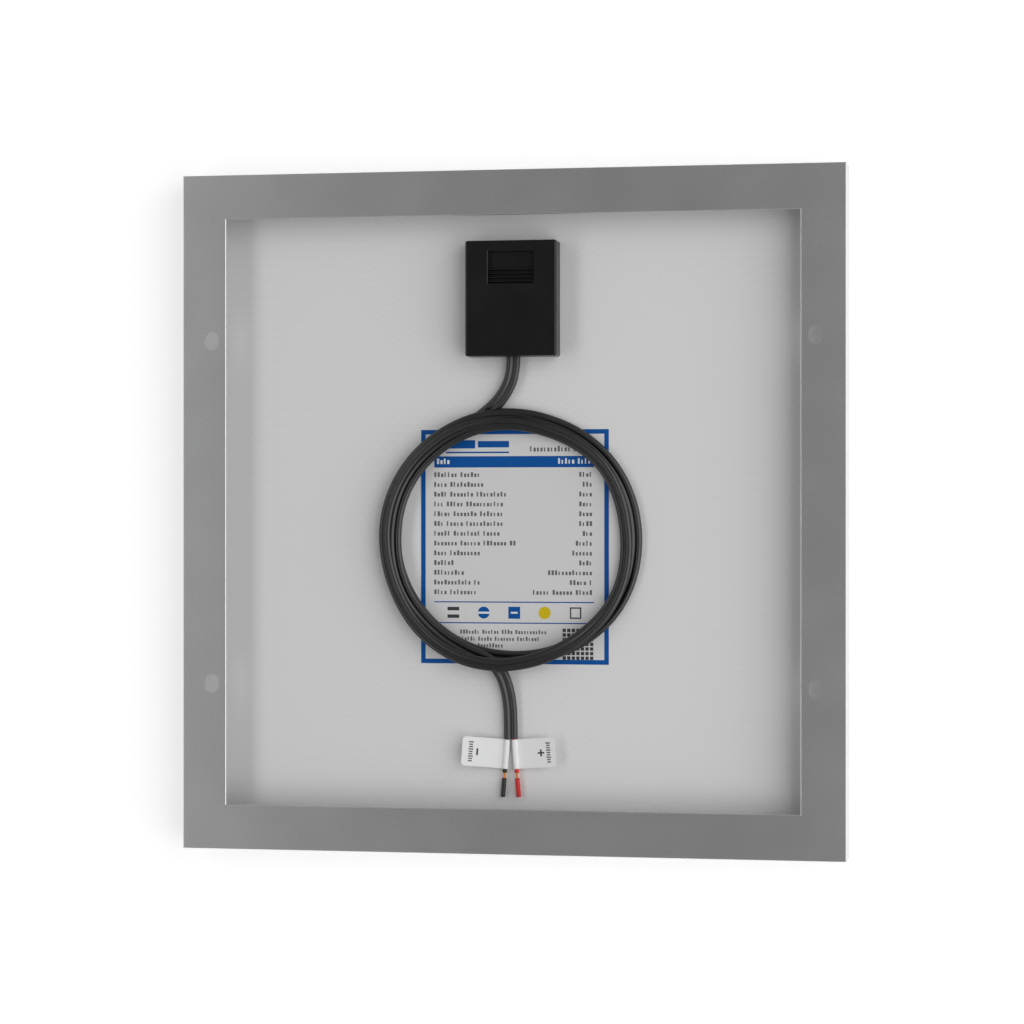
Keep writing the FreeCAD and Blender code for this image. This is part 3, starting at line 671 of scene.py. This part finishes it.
def tag(name, side):
    """A folded flag: a sleeve round the core and a leaf that curls up a little."""
    frame_of_core = end_frame(side)
    tag_end = TAG_START + TAG_TALL
    sleeve = [(TAG_START, TAG_BORE), (TAG_START, TAG_R), (tag_end, TAG_R), (tag_end, TAG_BORE)]
    vertices = lathe(*frame_of_core, sleeve, TAG_SIDES)
    faces = sleeve_faces(len(sleeve), TAG_SIDES)
    corner_at = TAG_REACH[name] - TAG_CORNER
    stations = [LEAF_ROOT + (corner_at - LEAF_ROOT) * k / LEAF_STEPS for k in range(LEAF_STEPS + 1)]
    for k in range(1, CORNER_STEPS + 1):
        stations.append(corner_at + TAG_CORNER * math.sin(math.pi / 2 * k / CORNER_STEPS))
    first = len(vertices)
    for at in stations:
        past = max(0.0, at - corner_at)
        inset = TAG_CORNER - math.sqrt(max(0.0, TAG_CORNER ** 2 - past ** 2))
        low, high = TAG_START + inset, tag_end - inset
        spots = [low + (high - low) * k / LEAF_ROWS for k in range(LEAF_ROWS + 1)]
        vertices += [leaf_point(frame_of_core, at, s, TAG_T / 2) for s in spots]
        vertices += [leaf_point(frame_of_core, at, s, -TAG_T / 2) for s in reversed(spots)]
    faces += tube_faces(len(stations), 2 * (LEAF_ROWS + 1), first)
    return mesh_piece(
        "flag_tag_" + name, vertices, faces, FINISHES["white_tag"], replaced=("tag_" + name,))


def tag_print(name, side):
    """A minus or plus, and a row of plain blocks beside it."""
    frame_of_core = end_frame(side)
    sign_at, row_at = PRINT_AT[name]
    middle = TAG_START + TAG_TALL / 2
    bars = [(sign_at, middle, MINUS_T, SIGN_LONG)]
    if name == "positive":
        bars.append((sign_at, middle, SIGN_LONG, PLUS_T))
    for k in range(ROW_BLOCKS):
        spot = middle + (k - ROW_BLOCKS // 2) * ROW_STEP
        bars.append((row_at, spot, BLOCK_LOW if k % 3 else BLOCK_TALL, BLOCK_WIDE))
    vertices, faces = [], []
    for at, along_core, wide, tall in bars:
        first = len(vertices)
        for lift in (TAG_T / 2, TAG_T / 2 + 0.02):
            for dx, dy in ((-1, -1), (1, -1), (1, 1), (-1, 1)):
                corner = (at + dx * wide / 2, along_core + dy * tall / 2)
                vertices.append(leaf_point(frame_of_core, *corner, lift))
        faces += tube_faces(2, 4, first)
    return mesh_piece("tag_print_" + name, vertices, faces, DARK, smooth=False)


end_pieces = []
for name, side in SIDES.items():
    slot = CORE_SLOTS[name]
    end_pieces += [insulation(name, side, slot), pulled_slug(name, side, slot), strands(name, side)]
    end_pieces += [tag(name, side), tag_print(name, side)]


# ------------------------------------------------------------------ rating label's print
# Places and sizes are in millimetres
FILM_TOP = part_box("rating_label")[1].z / MM
INK_T = 0.015
MARGIN, BORDER = 0.05, 2.0
TEXT_X0, TEXT_X1 = -35.2, 35.4
ROW_TOP, ROW_PITCH = 16.0, 4.263
HEAD_Y, HEAD_TALL = 21.8, 1.7  # the white row in the blue band
WORD_GAP = 0.7  # as a share of the pitch between blocks
BLOCK_WIDTHS = (0.38, 0.52, 0.6, 0.66)  # as shares of the pitch
CAPITAL, CAPITALS = 1.4, 0.22  # how much taller some blocks are, and how many
CODE_X, CODE_Y, CODE_PITCH, CODE_SIDE, CODE_CELL = 21.6, -64.0, 2.0, 7, 1.45  # the lattice of squares


def flat_shapes(name, outlines, material, level=0):
    """Thin raised shapes of ink; each outline is a list of (x, y) corners in millimetres."""
    vertices, faces = [], []
    z = FILM_TOP + level * INK_T
    for corners in outlines:
        first = len(vertices)
        for height in (z, z + INK_T):
            vertices += [Vector((x, y, height)) * MM for x, y in corners]
        faces += tube_faces(2, len(corners), first)
    return mesh_piece(name, vertices, faces, material, smooth=False)


def bar(x0, x1, y0, y1):
    return [(x0, y0), (x1, y0), (x1, y1), (x0, y1)]


def disc(x, y, radius, sides=AROUND):
    turns = [2 * math.pi * k / sides for k in range(sides)]
    return [(x + radius * math.cos(turn), y + radius * math.sin(turn)) for turn in turns]


def hollow(x0, x1, y0, y1, line):
    """Four bars that frame a rectangle on its inside."""
    return [
        bar(x0, x1, y1 - line, y1), bar(x0, x1, y0, y0 + line),
        bar(x0, x0 + line, y0 + line, y1 - line), bar(x1 - line, x1, y0 + line, y1 - line),
    ]


def blocks(x, y, words, tall=1.5, pitch=1.52, from_right=False):
    """Plain blocks in place of words; y is the middle of the row. The words are counts of blocks."""
    space = WORD_GAP * pitch
    if from_right:
        x -= sum(words) * pitch + (len(words) - 1) * space
    made = []
    for word in words:
        for k in range(word):
            wide = pitch * chance.choice(BLOCK_WIDTHS)
            high = tall * (CAPITAL if k == 0 or chance.random() < CAPITALS else 1.0)
            made.append(bar(x, x + wide, y - tall / 2, y - tall / 2 + high))
            x += pitch
        x += space
    return made


chance = random.Random(11)
left, low = (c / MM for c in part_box("rating_label")[0].xy)
right, high = (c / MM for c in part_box("rating_label")[1].xy)

# The border, the band and two rules, then two bars over a line as a heading, then two emblems
blue = hollow(left + MARGIN, right - MARGIN, low + MARGIN, high - MARGIN, BORDER)
blue += [
    bar(TEXT_X0, TEXT_X1, 19.4, 24.3),
    bar(TEXT_X0, TEXT_X1, -39.45, -38.95),
    bar(TEXT_X0, TEXT_X1, -48.55, -48.05),
    bar(-30.0, -17.0, 27.7, 31.3),
    bar(-15.8, -2.0, 28.1, 30.9),
    bar(-30.0, -2.0, 25.6, 26.3),
    disc(-13.2, -43.8, 2.6),
    bar(-2.3, 2.9, -46.4, -41.2),
]

# The band's row, and a stroke across each blue emblem
white = blocks(TEXT_X0 + 1.2, HEAD_Y, (4,), HEAD_TALL)
white += blocks(TEXT_X1 - 1.0, HEAD_Y, (5, 4), HEAD_TALL, from_right=True)
white += [bar(-15.8, -10.6, -44.3, -43.4), bar(-1.2, 1.8, -44.2, -43.4)]

# Each row of the table: blocks from the left, and blocks from the right
ROWS = [
    ((7, 6), (4,)), ((4, 10), (3,)), ((4, 7, 9), (4,)), ((3, 5, 11), (4,)), ((5, 7, 7), (4,)),
    ((3, 5, 11), (4,)), ((5, 8, 5), (3,)), ((7, 6, 7, 2), (5,)), ((4, 9), (6,)), ((6,), (4,)),
    ((9,), (13,)), ((11, 2), (5, 1)), ((4, 8), (5, 6, 5)),
]
NOTES = [(-52.4, (7, 6, 4, 11), 14.9), (-55.4, (6, 5, 7, 8), 11.8), (-58.3, (8, 9), -4.3)]  # y, words, right end
grey = blocks(7.3, 27.1, (12, 6), HEAD_TALL)
for k, (first_words, last_words) in enumerate(ROWS):
    y = ROW_TOP - k * ROW_PITCH
    grey += blocks(TEXT_X0, y, first_words) + blocks(TEXT_X1 - 0.4, y, last_words, from_right=True)
for y, words, x in NOTES:
    grey += blocks(x, y, words, 1.3, 1.28, from_right=True)

# A hollow square, two strokes and a plain lattice of squares
dark = hollow(24.8, 29.8, -46.3, -41.3, 0.6)
dark += [bar(-29.3, -24.1, -42.9, -41.4), bar(-29.3, -24.1, -46.2, -44.7)]
for i in range(CODE_SIDE):
    for j in range(CODE_SIDE):
        x, y = CODE_X + i * CODE_PITCH, CODE_Y + j * CODE_PITCH
        dark.append(bar(x, x + CODE_CELL, y, y + CODE_CELL))

flat_shapes("label_print_blue", blue, BLUE)
flat_shapes("label_print_white", white, WHITE, 1)
flat_shapes("label_print_grey", grey, GREY)
flat_shapes("label_print_dark", dark, DARK)
flat_shapes("label_print_yellow", [disc(13.7, -43.8, 2.7)], YELLOW)


# ------------------------------------------------------------------ the cord
cable = twin_cable()

# ------------------------------------------------------------------ studio
FLOOR_HALF, FLOOR_GAP = 6.0, 0.3 * MM  # half its side, and how far it lies under the frame
floor_mesh = bpy.data.meshes.new("floor")
floor_corners = [(x * FLOOR_HALF, y * FLOOR_HALF, 0) for x, y in ((-1, -1), (1, -1), (1, 1), (-1, 1))]
floor_mesh.from_pydata(floor_corners, [], [(0, 1, 2, 3)])
floor = bpy.data.objects.new("floor", floor_mesh)
floor.location.z = -FLOOR_GAP
bpy.context.scene.collection.objects.link(floor)
floor_paint = Paint("floor", (0.9, 0.9, 0.9), 0.9)
floor_paint.set("Emission Color", (1, 1, 1, 1))
floor_paint.set("Emission Strength", 0.45)
floor_mesh.materials.append(floor_paint.material)

SKY_LOW, SKY_HIGH = 0.44, 0.13  # brightness at the horizon and overhead
world = bpy.data.worlds.new("studio")
bpy.context.scene.world = world
world.use_nodes = True
backdrop = world.node_tree.nodes["Background"]
backdrop.inputs["Color"].default_value = (1, 1, 1, 1)
sky_way = world.node_tree.nodes.new("ShaderNodeTexCoord")
sky = world.node_tree.nodes.new("ShaderNodeSeparateXYZ")
sky_glow = world.node_tree.nodes.new("ShaderNodeMapRange")
for socket, value in (("From Min", 0.0), ("From Max", 1.0), ("To Min", SKY_LOW), ("To Max", SKY_HIGH)):
    sky_glow.inputs[socket].default_value = value
world.node_tree.links.new(sky_way.outputs["Generated"], sky.inputs["Vector"])
world.node_tree.links.new(sky.outputs["Z"], sky_glow.inputs["Value"])
world.node_tree.links.new(sky_glow.outputs["Result"], backdrop.inputs["Strength"])


def softbox(name, at, size, power):
    """A rectangular light aimed at the origin; size is its length along Y and its width."""
    data = bpy.data.lights.new(name, "AREA")
    data.shape = "RECTANGLE"
    data.size, data.size_y = size
    data.energy = power
    light = bpy.data.objects.new(name, data)
    light.location = at
    light.rotation_euler = (-Vector(at)).to_track_quat("-Z", "Y").to_euler()
    bpy.context.scene.collection.objects.link(light)


softbox("key", (1.22, 0.0, 1.22), (2.8, 1.7), 21.0)
softbox("low_key", (1.9, 0.0, 0.45), (2.4, 0.4), 4.4)
softbox("fill", (-1.10, 0.0, 1.29), (2.5, 0.5), 6.6)

bpy.context.scene.view_settings.view_transform = "Standard"

CAMERA_AT, CAMERA_TURN = (0.2232, 0.0, 1.2383), 0.17977  # metres; radians about Y from straight down
camera_data = bpy.data.cameras.new("camera")
camera_data.sensor_width = 36.0
camera_data.lens = 101.25
camera = bpy.data.objects.new("camera", camera_data)
camera.location = CAMERA_AT
camera.rotation_euler = (0.0, CAMERA_TURN, 0.0)
bpy.context.scene.collection.objects.link(camera)
bpy.context.scene.camera = camera
